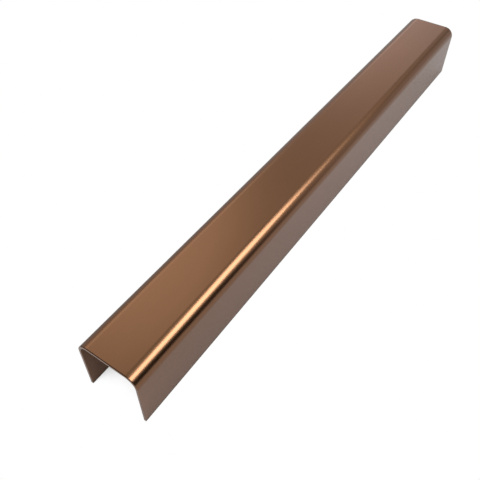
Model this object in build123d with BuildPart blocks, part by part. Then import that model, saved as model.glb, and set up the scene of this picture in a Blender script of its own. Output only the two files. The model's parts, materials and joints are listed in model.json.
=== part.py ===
from build123d import *
import os

# U-profile of stainless sheet: one strip, folded twice on a press brake into a web
# with two equal legs at right angles to it.
# It lies as it is shown, with the web on top and the open side down.
# X runs across the web, Y along the profile, Z up from the tips of the legs.
# The origin is under the middle of the profile, on the ground.

# Driving sizes, in millimetres
outside_width = 24.5
outside_height = 25.0
length = 250.0
sheet_thickness = 1.0
inside_bend_radius = 3.6
edge_break = 0.15

# The outer skin of a bend lies one wall outside its inner skin
outside_bend_radius = inside_bend_radius + sheet_thickness

# Deburring rounds each sheared edge, and always leaves a flat between two of them
sheared_edge_radius = min(edge_break, sheet_thickness / 3)

with BuildPart() as u_profile:
    # Section of the folded strip: the outer line of leg, web and leg, thickened inwards
    with BuildSketch(Plane.XZ):
        with BuildLine():
            FilletPolyline(
                (-outside_width / 2, 0),
                (-outside_width / 2, outside_height),
                (outside_width / 2, outside_height),
                (outside_width / 2, 0),
                radius=outside_bend_radius,
            )
            offset(amount=sheet_thickness, side=Side.RIGHT)
        make_face()
    extrude(amount=length / 2, both=True)

    # The strip was cut on four sides: across both ends and along the tips of the legs
    cut_ends = u_profile.faces().filter_by(Axis.Y)
    leg_tips = u_profile.faces().filter_by(Axis.Z).group_by(Axis.Z)[0]
    fillet((cut_ends + leg_tips).edges(), radius=sheared_edge_radius)

u_profile.part.label = "u_profile"

os.makedirs("parts", exist_ok=True)
export_step(u_profile.part, "parts/u_profile.step")
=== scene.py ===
import json
import math

import bpy
from bpy.props import FloatProperty, FloatVectorProperty, IntProperty, PointerProperty
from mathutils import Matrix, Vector


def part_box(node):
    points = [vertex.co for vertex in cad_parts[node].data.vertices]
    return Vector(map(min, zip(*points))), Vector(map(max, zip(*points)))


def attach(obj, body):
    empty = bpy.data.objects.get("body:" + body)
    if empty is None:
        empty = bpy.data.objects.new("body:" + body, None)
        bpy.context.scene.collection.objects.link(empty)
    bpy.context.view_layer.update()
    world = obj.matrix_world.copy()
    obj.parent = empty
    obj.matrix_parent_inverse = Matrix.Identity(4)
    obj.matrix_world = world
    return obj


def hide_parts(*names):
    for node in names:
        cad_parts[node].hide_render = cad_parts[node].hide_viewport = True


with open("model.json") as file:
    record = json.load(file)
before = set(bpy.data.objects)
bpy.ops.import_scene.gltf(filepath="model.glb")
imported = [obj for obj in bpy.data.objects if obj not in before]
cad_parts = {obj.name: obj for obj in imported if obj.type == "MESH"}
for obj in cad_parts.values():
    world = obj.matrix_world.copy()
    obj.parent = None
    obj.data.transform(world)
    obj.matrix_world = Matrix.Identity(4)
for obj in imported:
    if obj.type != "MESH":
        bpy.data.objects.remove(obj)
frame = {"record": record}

bl_info = {
    "name": "Folded U-profile",
    "version": (1, 0, 0),
    "blender": (4, 5, 0),
    "location": "3D View > Sidebar > U-profile",
    "description": "Folds a U-profile of bronze-coated stainless sheet, and lights it in a studio",
    "category": "Add Mesh",
}

MM = 0.001
WHITE = (1.0, 1.0, 1.0, 1.0)

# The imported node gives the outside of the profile, and its two web mounts give the gauge
NODE = "u_profile"
LOW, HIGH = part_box(NODE)
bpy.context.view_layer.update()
MOUNT_PLACES = {mount["name"]: Vector(mount["pos_m"]) for mount in frame["record"]["mounts"]}
GAUGE = (MOUNT_PLACES["web_outside"] - MOUNT_PLACES["web_inside"]).length


def linear(hex_colour):
    """Turns an sRGB hex colour, such as 7D5A43, into linear red, green and blue."""
    channels = [int(hex_colour[i:i + 2], 16) / 255 for i in (0, 2, 4)]
    return tuple(c / 12.92 if c <= 0.04045 else ((c + 0.055) / 1.055) ** 2.4 for c in channels)


def direction(azimuth, elevation):
    """Unit vector towards a place in the studio; azimuth 0 is +Y, and it grows towards +X."""
    level = math.cos(elevation)
    return Vector((level * math.sin(azimuth), level * math.cos(azimuth), math.sin(elevation)))


class ProfileSizes(bpy.types.PropertyGroup):
    """Sizes of the folded profile."""

    width: FloatProperty(
        name="Outside Width", description="Across the web, over both legs",
        default=HIGH.x - LOW.x, min=5 * MM, subtype="DISTANCE", unit="LENGTH")
    height: FloatProperty(
        name="Outside Height", description="From the tips of the legs to the top of the web",
        default=HIGH.z - LOW.z, min=5 * MM, subtype="DISTANCE", unit="LENGTH")
    length: FloatProperty(
        name="Length", description="From one cut end to the other",
        default=HIGH.y - LOW.y, min=10 * MM, subtype="DISTANCE", unit="LENGTH")
    sheet_thickness: FloatProperty(
        name="Sheet Thickness", description="Gauge of the stainless sheet",
        default=GAUGE, min=0.3 * MM, subtype="DISTANCE", unit="LENGTH")
    # The frame holds neither the bend radius nor the edge break: both repeat the part's source
    inside_bend_radius: FloatProperty(
        name="Inside Bend Radius", description="Radius of the press tool's nose",
        default=3.6 * MM, min=0.2 * MM, subtype="DISTANCE", unit="LENGTH")
    edge_break: FloatProperty(
        name="Edge Break", description="Radius that deburring leaves on a sheared edge",
        default=0.15 * MM, min=0.02 * MM, subtype="DISTANCE", unit="LENGTH")
    bend_steps: IntProperty(
        name="Bend Steps", description="Faces round each bend", default=32, min=4)
    edge_steps: IntProperty(
        name="Edge Steps", description="Faces round half of each eased edge", default=3, min=1)
    length_steps: IntProperty(
        name="Length Steps", description="Faces from the middle to each end", default=12, min=1)


class CoatColours(bpy.types.PropertyGroup):
    """Colours of the bronze coat, and of the shade painted along its edges."""

    light: FloatVectorProperty(
        name="Light Bronze", description="Where the coat is thinnest",
        default=linear("7D5A43"), size=3, min=0, max=1, subtype="COLOR")
    dark: FloatVectorProperty(
        name="Dark Bronze", description="Where the coat is thickest",
        default=linear("75533D"), size=3, min=0, max=1, subtype="COLOR")
    # The edge colour is painted shade, not a colour of the coat: a dark reflection across the top of
    # the ends, and a contact shadow along the feet of the legs
    edge: FloatVectorProperty(
        name="Painted Edge Shade", description="Painted shade along the top of each end and the foot of each leg",
        default=linear("33231A"), size=3, min=0, max=1, subtype="COLOR")


class StudioSettings(bpy.types.PropertyGroup):
    """Light and floor of the studio."""

    softbox_power: FloatProperty(
        name="Softbox Power", description="Power of the softbox over the profile",
        default=3.97, min=0, subtype="POWER", unit="POWER")
    softbox_colour: FloatVectorProperty(
        name="Softbox Colour",
        description="A trace of green, which turns the highlight on the bronze to gold",
        default=linear("FAFFFD"), size=3, min=0, max=1, subtype="COLOR")
    floor_colour: FloatVectorProperty(
        name="Floor Colour", description="Pale, slightly cool grey of the floor",
        default=linear("E9EDF1"), size=3, min=0, max=1, subtype="COLOR")


def add(tree, kind, inputs=(), **settings):
    """Adds a node with its settings, then sets or links its inputs, and returns it.

    The inputs are a list in the order of the sockets, or a dictionary by name or number.
    Numbers tell apart sockets that share a name, such as the two colours of a Mix, 6 and 7.
    A node given as a value stands for its first output in use, and None leaves a socket alone.
    """
    node = tree.nodes.new(kind)
    for name, value in settings.items():
        setattr(node, name, value)
    for key, value in inputs.items() if isinstance(inputs, dict) else enumerate(inputs):
        if isinstance(value, bpy.types.Node):
            value = next(output for output in value.outputs if output.enabled)
        if isinstance(value, bpy.types.NodeSocket):
            tree.links.new(value, node.inputs[key])
        elif value is not None:
            node.inputs[key].default_value = value
    return node


def folding_tree():
    """Geometry Nodes that ease the edges of a flat blank and fold it into a U.

    The blank is a box whose vertices stand at whole numbers, here called stations, counted
    from its middle: across the strip, along it, and through the sheet. Each stretch between
    two stations then gets its real size, so the rows lie close together only in the bends
    and round the eased edges.
    """
    tree = bpy.data.node_groups.new("fold a blank", "GeometryNodeTree")
    tree.is_modifier = True
    sizes = ("Width", "Height", "Length", "Sheet Thickness", "Inside Bend Radius", "Edge Break")
    for name in sizes:
        socket = tree.interface.new_socket(name, in_out="INPUT", socket_type="NodeSocketFloat")
        socket.subtype = "DISTANCE"
    for name in ("Bend Steps", "Edge Steps", "Length Steps"):
        tree.interface.new_socket(name, in_out="INPUT", socket_type="NodeSocketInt")
    tree.interface.new_socket("Finish", in_out="INPUT", socket_type="NodeSocketMaterial")
    tree.interface.new_socket("Profile", in_out="OUTPUT", socket_type="NodeSocketGeometry")
    given = add(tree, "NodeGroupInput").outputs

    # Sizes that follow from the inputs
    half_sheet = add(tree, "ShaderNodeMath", (given["Sheet Thickness"], 0.5), operation="MULTIPLY")
    middle_radius = add(tree, "ShaderNodeMath", (
        given["Inside Bend Radius"], half_sheet), operation="ADD")
    outer_radius = add(tree, "ShaderNodeMath", (middle_radius, half_sheet), operation="ADD")
    bend_height = add(tree, "ShaderNodeMath", (given["Height"], outer_radius), operation="SUBTRACT")
    half_width = add(tree, "ShaderNodeMath", (given["Width"], 0.5), operation="MULTIPLY")
    half_web = add(tree, "ShaderNodeMath", (half_width, outer_radius), operation="SUBTRACT")
    half_length = add(tree, "ShaderNodeMath", (given["Length"], 0.5), operation="MULTIPLY")
    eased_by = given["Edge Break"]
    flat_leg = add(tree, "ShaderNodeMath", (bend_height, eased_by), operation="SUBTRACT")
    flat_length = add(tree, "ShaderNodeMath", (half_length, eased_by), operation="SUBTRACT")
    flat_wall = add(tree, "ShaderNodeMath", (half_sheet, eased_by), operation="SUBTRACT")

    # Stations: one step over the half web, the bend, one over the leg, and the eased edges
    bend_end = add(tree, "ShaderNodeMath", (given["Bend Steps"], 1.0), operation="ADD")
    leg_end = add(tree, "ShaderNodeMath", (bend_end, 1.0), operation="ADD")
    flat_ends = add(tree, "ShaderNodeCombineXYZ", (leg_end, given["Length Steps"], 1.0))
    ends = add(tree, "ShaderNodeVectorMath", (flat_ends, given["Edge Steps"]), operation="ADD")
    size = add(tree, "ShaderNodeVectorMath", {0: ends, "Scale": 2.0}, operation="SCALE")
    counts = add(tree, "ShaderNodeVectorMath", (size, (1.0, 1.0, 1.0)), operation="ADD")
    counts = add(tree, "ShaderNodeSeparateXYZ", (counts,)).outputs
    blank = add(tree, "GeometryNodeMeshCube", (size, *counts))
    position = add(tree, "GeometryNodeInputPosition")
    side = add(tree, "ShaderNodeVectorMath", (position,), operation="SIGN")
    station = add(tree, "ShaderNodeVectorMath", (position,), operation="ABSOLUTE")
    across, along, through = add(tree, "ShaderNodeSeparateXYZ", (station,)).outputs

    # The flats lie on the faces of a smaller box, and the edges are rolled round it
    web = add(tree, "ShaderNodeMapRange", (across, 0.0, 1.0, 0.0, half_web))
    turn = add(tree, "ShaderNodeMapRange", (across, 1.0, bend_end, 0.0, math.pi / 2))
    leg = add(tree, "ShaderNodeMapRange", (across, bend_end, leg_end, 0.0, flat_leg))
    lengthways = add(tree, "ShaderNodeMapRange", (
        along, 0.0, given["Length Steps"], 0.0, flat_length))
    wall = add(tree, "ShaderNodeMapRange", (through, 0.0, 1.0, 0.0, flat_wall))
    beyond_bend = add(tree, "ShaderNodeMath", (web, half_web), operation="SUBTRACT")
    beyond_bend = add(tree, "ShaderNodeMath", (beyond_bend, leg), operation="ADD")
    flat = add(tree, "ShaderNodeCombineXYZ", (beyond_bend, lengthways, wall))
    # From the rim of a flat to the ridge between two faces, the normal turns by an eighth of a
    # circle. For vectors, From Min, From Max and To Max are sockets 7, 8 and 10
    roll = add(tree, "ShaderNodeMapRange", {
        "Vector": station, 7: flat_ends, 8: ends, 10: (math.pi / 4,) * 3}, data_type="FLOAT_VECTOR")
    roll = add(tree, "ShaderNodeVectorMath", (roll,), operation="TANGENT")
    outwards = add(tree, "ShaderNodeVectorMath", (roll,), operation="NORMALIZE")
    eased = add(tree, "ShaderNodeVectorMath", {0: outwards, "Scale": eased_by}, operation="SCALE")
    eased = add(tree, "ShaderNodeVectorMath", (eased, flat), operation="ADD")

    # Each half is folded on the right, and the left half is then turned over to its own side
    side_x, side_y, side_z = add(tree, "ShaderNodeSeparateXYZ", (side,)).outputs
    right = add(tree, "ShaderNodeCombineXYZ", (1.0, side_y, side_z))
    own_side = add(tree, "ShaderNodeCombineXYZ", (side_x, 1.0, 1.0))
    bend_radius = add(tree, "ShaderNodeCombineXYZ", (0.0, 0.0, middle_radius))
    bend_centre = add(tree, "ShaderNodeCombineXYZ", (half_web, 0.0, bend_height))
    place = add(tree, "ShaderNodeVectorMath", (eased, right, bend_radius), operation="MULTIPLY_ADD")
    place = add(tree, "ShaderNodeVectorRotate", {
        "Vector": place, "Angle": turn}, rotation_type="Y_AXIS")
    place = add(tree, "ShaderNodeVectorMath", (place, bend_centre), operation="ADD")
    place = add(tree, "ShaderNodeVectorMath", (place, own_side), operation="MULTIPLY")
    normal = add(tree, "ShaderNodeVectorMath", (outwards, right), operation="MULTIPLY")
    normal = add(tree, "ShaderNodeVectorRotate", {
        "Vector": normal, "Angle": turn}, rotation_type="Y_AXIS")
    normal = add(tree, "ShaderNodeVectorMath", (normal, own_side), operation="MULTIPLY")

    # The normals are kept before the points move, because they are worked out from the stations
    kept = add(tree, "GeometryNodeStoreNamedAttribute", {
        "Geometry": blank, "Name": "facing", "Value": normal}, data_type="FLOAT_VECTOR", domain="POINT")
    folded = add(tree, "GeometryNodeSetPosition", {"Geometry": kept, "Position": place})
    facing = add(tree, "GeometryNodeInputNamedAttribute", {
        "Name": "facing"}, data_type="FLOAT_VECTOR")
    smooth = add(tree, "GeometryNodeSetShadeSmooth", (folded,))
    shaded = add(tree, "GeometryNodeSetMeshNormal", {"Mesh": smooth}, mode="FREE", domain="POINT")
    tree.links.new(facing.outputs["Attribute"], shaded.inputs["Custom Normal"])
    cleared = add(tree, "GeometryNodeRemoveAttribute", {"Geometry": shaded, "Name": "facing"})
    real = add(tree, "GeometryNodeRealizeInstances", (cleared,))
    dressed = add(tree, "GeometryNodeSetMaterial", {"Geometry": real, "Material": given["Finish"]})
    add(tree, "NodeGroupOutput", (dressed,))
    return tree


def made_by(tree, name, values):
    """Runs a Geometry Nodes tree with the given inputs, and returns a plain mesh object."""
    piece = bpy.data.objects.new(name, bpy.data.meshes.new(name))
    bpy.context.scene.collection.objects.link(piece)
    modifier = piece.modifiers.new(name, "NODES")
    modifier.node_group = tree
    for item in tree.interface.items_tree:
        if item.in_out == "INPUT":
            modifier[item.identifier] = values[item.name]
    evaluated = piece.evaluated_get(bpy.context.evaluated_depsgraph_get())
    mesh = bpy.data.meshes.new_from_object(evaluated)
    piece.modifiers.clear()
    piece.data = mesh
    return piece


def bronze_coated_stainless(colours, sizes):
    """Satin stainless sheet with a bronze coat, put on in vacuum after the sheet was ground.

    The coat is thin enough to keep the sheen of the metal, which it tints a dark brown. The
    ground satin under it spreads each reflection a little, and the coat's tone drifts very
    slightly along the grain.
    """
    material = bpy.data.materials.new("bronze-coated satin stainless")
    material.use_nodes = True
    tree = material.node_tree
    tree.nodes.clear()
    surface = add(tree, "ShaderNodeTexCoord").outputs
    place, normal = surface["Object"], surface["Normal"]

    # Grinding lines run along the profile. Real ones are under 0.1 mm wide, and these are
    # drawn at 0.4 mm so that they show
    grain_width = 0.4 * MM
    grain_length = 30 * MM
    grain_place = add(tree, "ShaderNodeMapping", {
        "Vector": place, "Scale": (1 / grain_width, 1 / grain_length, 1 / grain_width)})
    grain = add(tree, "ShaderNodeTexNoise", {
        "Vector": grain_place, "Scale": 1.0, "Detail": 3.0, "Roughness": 0.6}, normalize=True)
    grain_low, grain_high = 0.3, 0.7
    smoothest, roughest = 0.24, 0.27
    roughness = add(tree, "ShaderNodeMapRange", (
        grain, grain_low, grain_high, smoothest, roughest))
    bump = add(tree, "ShaderNodeBump", {"Strength": 0.05, "Distance": 0.002 * MM, "Height": grain})

    # The coat's thickness drifts over a few centimetres
    drift_width = 15 * MM
    drift_length = 60 * MM
    drift_place = add(tree, "ShaderNodeMapping", {
        "Vector": place, "Scale": (1 / drift_width, 1 / drift_length, 1 / drift_width)})
    drift = add(tree, "ShaderNodeTexNoise", {"Vector": drift_place, "Scale": 1.0, "Detail": 2.0})
    tone = add(tree, "ShaderNodeMix", {
        6: (*colours.dark, 1.0), 7: (*colours.light, 1.0), "Factor": drift}, data_type="RGBA")

    # A dark line is painted on as shade, not as a mark of the coat: across the top of both ends it is a
    # painted dark reflection of the eased edge, and along the foot of each leg, a little wider, a
    # painted contact shadow. Each line is full up to one distance from the edge, and has faded out at
    # the other
    end_line_full, end_line_width = 0.245 * MM, 0.35 * MM
    foot_line_full, foot_line_width = 0.3 * MM, 0.6 * MM
    # The painted reflection at an end also needs a surface that faces up: the Z of the normal where
    # it sets in, and where it is full
    level_enough, fully_level = 0.6, 0.8
    _, along, above = add(tree, "ShaderNodeSeparateXYZ", (place,)).outputs
    from_middle = add(tree, "ShaderNodeMath", (along,), operation="ABSOLUTE")
    from_end = add(tree, "ShaderNodeMath", (sizes.length / 2, from_middle), operation="SUBTRACT")
    end_line = add(tree, "ShaderNodeMapRange", (from_end, end_line_width, end_line_full))
    upwards = add(tree, "ShaderNodeSeparateXYZ", (normal,)).outputs["Z"]
    end_line = add(tree, "ShaderNodeMapRange", (
        upwards, level_enough, fully_level, 0.0, end_line))
    foot_line = add(tree, "ShaderNodeMapRange", (above, foot_line_width, foot_line_full))
    painted_shade_line = add(tree, "ShaderNodeMath", (end_line, foot_line), operation="MAXIMUM")
    # Mixes in the painted shade: the dark reflection at the ends and the contact shadow at the feet
    tone = add(tree, "ShaderNodeMix", {
        6: tone, 7: (*colours.edge, 1.0), "Factor": painted_shade_line}, data_type="RGBA")
    shader = add(tree, "ShaderNodeBsdfPrincipled", {
        "Base Color": tone, "Metallic": 1.0, "Roughness": roughness, "Normal": bump})
    add(tree, "ShaderNodeOutputMaterial", (shader,))
    return material


class FoldProfile(bpy.types.Operator):
    """Folds the profile from its flat blank and gives it its coat"""

    bl_idname = "u_profile.fold"
    bl_label = "Fold Profile"
    bl_options = {"REGISTER", "UNDO"}

    def execute(self, context):
        sizes = context.scene.profile_sizes
        piece = made_by(folding_tree(), "folded_profile", {
            "Width": sizes.width,
            "Height": sizes.height,
            "Length": sizes.length,
            "Sheet Thickness": sizes.sheet_thickness,
            "Inside Bend Radius": sizes.inside_bend_radius,
            "Edge Break": sizes.edge_break,
            "Bend Steps": sizes.bend_steps,
            "Edge Steps": sizes.edge_steps,
            "Length Steps": sizes.length_steps,
            "Finish": bronze_coated_stainless(context.scene.coat_colours, sizes),
        })
        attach(piece, "root")
        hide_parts(NODE)
        return {"FINISHED"}


# The camera looks down along the profile's right side, as the photograph does
VIEW_POINT = Vector((4.96, -61.96, 25.0)) * MM
VIEW_AZIMUTH = math.radians(-34.888)
VIEW_ELEVATION = math.radians(48.146)
VIEW_DISTANCE = 202.6 * MM
NEAREST_SEEN = 10 * MM
# Blender takes these two in millimetres
LENS = 42.966
SENSOR_WIDTH = 36.0

# The softbox hangs level, high up to the right of the far end, and is turned with the camera
SOFTBOX_PLACE = (245 * MM, 172 * MM, 491 * MM)
SOFTBOX_SIZE = (325 * MM, 443 * MM)

# What the satin coat reflects of the studio, in linear red, green and blue: warm light from
# overhead, cooler light from the horizon, and patches by azimuth, elevation, inner and outer
# edge in degrees, and light
OVERHEAD_LIGHT = (0.6, 0.6, 0.52)
HORIZON_LIGHT = (0.72, 0.72, 0.76)
STUDIO_PATCHES = (
    ("dark doorway on the right", 76, 14.9, 23.6, 26.1, (0.0, 0.0, 0.0)),
    ("window on the left", -55.3, 42.3, 13.5, 16.5, (1.85, 1.83, 1.75)),
    ("window at the back", -22.7, 23.4, 1, 13.3, (2.1, 2.12, 2.34)),
    ("dim corner at the back", 18.4, 26, 1, 14, (0.35, 0.35, 0.35)),
)
# What is added to the floor where metal reflects it
FLOOR_GLOW = 0.12
# The floor is dimmer on the left, which darkens the rim of the left bend, and a little dimmer
# on the right towards the back: the share of its light that is kept there, and the stretch
# of Y over which it falls to that
LEFT_SHARE = 0.55
LEFT_FALL_OFF = (-135 * MM, -115 * MM)
RIGHT_SHARE = 0.88
RIGHT_FALL_OFF = (60 * MM, 150 * MM)
# The stretch of X over which the left side of the floor passes into the right side
LEFT_TO_RIGHT = (-30 * MM, -2 * MM)
# The camera sees the floor white, but for the shade inside the channel: the least share of
# open sky over a spot that is seen as white, and how light a spot with no sky at all is
WHITE_SKY_SHARE = 0.29
DEEPEST_SHADE = 0.12


def studio_world():
    """Even white light, and in reflections a pale room with windows, a doorway and a corner."""
    world = bpy.data.worlds.new("pale studio")
    world.use_nodes = True
    tree = world.node_tree
    tree.nodes.clear()
    sight = add(tree, "ShaderNodeTexCoord").outputs["Generated"]
    upwards = add(tree, "ShaderNodeSeparateXYZ", (sight,)).outputs["Z"]
    room = add(tree, "ShaderNodeMix", {
        6: (*HORIZON_LIGHT, 1.0), 7: (*OVERHEAD_LIGHT, 1.0), "Factor": upwards}, data_type="RGBA")
    for name, azimuth, elevation, inner, outer, light in STUDIO_PATCHES:
        towards = direction(math.radians(azimuth), math.radians(elevation))
        angle = add(tree, "ShaderNodeVectorMath", (sight, towards), operation="DOT_PRODUCT")
        angle = add(tree, "ShaderNodeMath", (angle,), operation="ARCCOSINE")
        share = add(tree, "ShaderNodeMapRange", (angle, math.radians(outer), math.radians(inner)),
                    interpolation_type="SMOOTHSTEP", label=name)
        room = add(tree, "ShaderNodeMix", {
            6: room, 7: (*light, 1.0), "Factor": share}, data_type="RGBA")
    rays = add(tree, "ShaderNodeLightPath").outputs
    glossy = add(tree, "ShaderNodeMath", (
        rays["Is Glossy Ray"], rays["Is Transmission Ray"]), operation="MAXIMUM")
    seen = add(tree, "ShaderNodeMix", {
        6: WHITE, 7: room, "Factor": glossy}, data_type="RGBA")
    background = add(tree, "ShaderNodeBackground", (seen,))
    add(tree, "ShaderNodeOutputWorld", (background,))
    # Direct light sampling knows no kinds of ray, so the world is left to the rays that meet it
    world.cycles.sampling_method = "NONE"
    bpy.context.scene.world = world


def studio_floor(colour):
    """Pale floor that is white to the camera and keeps the profile's shadow."""
    # The profile stands off the square's diagonal, where its two triangles meet in a faint line
    left, right, front, back = -2.0, 6.0, -6.0, 2.0
    corners = [(left, front, 0), (right, front, 0), (right, back, 0), (left, back, 0)]
    mesh = bpy.data.meshes.new("studio_floor")
    mesh.from_pydata(corners, [], [(0, 1, 2, 3)])
    floor = bpy.data.objects.new("studio_floor", mesh)
    bpy.context.scene.collection.objects.link(floor)
    material = bpy.data.materials.new("pale studio floor")
    material.use_nodes = True
    tree = material.node_tree
    tree.nodes.clear()
    rays = add(tree, "ShaderNodeLightPath").outputs
    glossy = add(tree, "ShaderNodeMath", (
        rays["Is Glossy Ray"], rays["Is Transmission Ray"]), operation="MAXIMUM")
    sky = add(tree, "ShaderNodeAmbientOcclusion").outputs["AO"]
    shade = add(tree, "ShaderNodeMapRange", (sky, 0.0, WHITE_SKY_SHARE, DEEPEST_SHADE, 1.0))
    place = add(tree, "ShaderNodeTexCoord").outputs["Object"]
    to_right, backwards, _ = add(tree, "ShaderNodeSeparateXYZ", (place,)).outputs
    on_left = add(tree, "ShaderNodeMapRange", (backwards, *LEFT_FALL_OFF, 1.0, LEFT_SHARE))
    on_right = add(tree, "ShaderNodeMapRange", (backwards, *RIGHT_FALL_OFF, 1.0, RIGHT_SHARE))
    level = add(tree, "ShaderNodeMapRange", (to_right, *LEFT_TO_RIGHT, on_left, on_right))
    grey = add(tree, "ShaderNodeVectorMath", {0: tuple(colour), "Scale": level}, operation="SCALE")
    matt = add(tree, "ShaderNodeBsdfDiffuse", (grey,))
    glow = add(tree, "ShaderNodeMath", (glossy, FLOOR_GLOW), operation="MULTIPLY")
    glow = add(tree, "ShaderNodeMath", (glow, shade), operation="MULTIPLY")
    glow = add(tree, "ShaderNodeMath", (glow, level), operation="MULTIPLY")
    glowing = add(tree, "ShaderNodeEmission", (WHITE, glow))
    lit = add(tree, "ShaderNodeAddShader", (matt, glowing))
    white = add(tree, "ShaderNodeEmission", (WHITE, shade))
    shader = add(tree, "ShaderNodeMixShader", (rays["Is Camera Ray"], lit, white))
    add(tree, "ShaderNodeOutputMaterial", (shader,))
    # What the floor gives off is for the rays that meet it, and isn't sampled as a lamp
    material.cycles.emission_sampling = "NONE"
    mesh.materials.append(material)


class SetStage(bpy.types.Operator):
    """Sets the floor, the studio's light and the camera round the profile"""

    bl_idname = "u_profile.stage"
    bl_label = "Set Stage"
    bl_options = {"REGISTER", "UNDO"}

    def execute(self, context):
        scene = context.scene
        settings = scene.studio_settings
        studio_floor(settings.floor_colour)
        studio_world()

        light = bpy.data.lights.new("softbox", "AREA")
        light.shape = "RECTANGLE"
        light.size, light.size_y = SOFTBOX_SIZE
        light.energy = settings.softbox_power
        light.color = settings.softbox_colour
        softbox = bpy.data.objects.new("softbox", light)
        softbox.location = SOFTBOX_PLACE
        softbox.rotation_euler.z = -VIEW_AZIMUTH
        # Only reflections show the softbox; the world's even light is what falls on the floor
        softbox.visible_diffuse = False
        scene.collection.objects.link(softbox)

        camera = bpy.data.objects.new("camera", bpy.data.cameras.new("camera"))
        camera.data.lens = LENS
        camera.data.sensor_width = SENSOR_WIDTH
        camera.data.clip_start = NEAREST_SEEN
        sight = direction(VIEW_AZIMUTH, -VIEW_ELEVATION)
        camera.location = VIEW_POINT - sight * VIEW_DISTANCE
        camera.rotation_euler = sight.to_track_quat("-Z", "Y").to_euler()
        scene.collection.objects.link(camera)
        scene.camera = camera
        scene.view_settings.view_transform = "Standard"
        return {"FINISHED"}


class ProfilePanel(bpy.types.Panel):
    """Lists the sizes, the colours and the steps of the profile"""

    bl_idname = "VIEW3D_PT_u_profile"
    bl_label = "U-profile"
    bl_space_type = "VIEW_3D"
    bl_region_type = "UI"
    bl_category = "U-profile"

    def draw(self, context):
        scene = context.scene
        for operator, group in (
            (FoldProfile, scene.profile_sizes),
            (None, scene.coat_colours),
            (SetStage, scene.studio_settings),
        ):
            column = self.layout.column(align=True)
            for name in group.__annotations__:
                column.prop(group, name)
            if operator:
                column.operator(operator.bl_idname)


CLASSES = (ProfileSizes, CoatColours, StudioSettings, FoldProfile, SetStage, ProfilePanel)


def register():
    for one in CLASSES:
        bpy.utils.register_class(one)
    bpy.types.Scene.profile_sizes = PointerProperty(type=ProfileSizes)
    bpy.types.Scene.coat_colours = PointerProperty(type=CoatColours)
    bpy.types.Scene.studio_settings = PointerProperty(type=StudioSettings)


def unregister():
    del bpy.types.Scene.profile_sizes
    del bpy.types.Scene.coat_colours
    del bpy.types.Scene.studio_settings
    for one in reversed(CLASSES):
        bpy.utils.unregister_class(one)


def main():
    register()
    bpy.ops.u_profile.fold()
    bpy.ops.u_profile.stage()


if __name__ == "__main__":
    main()
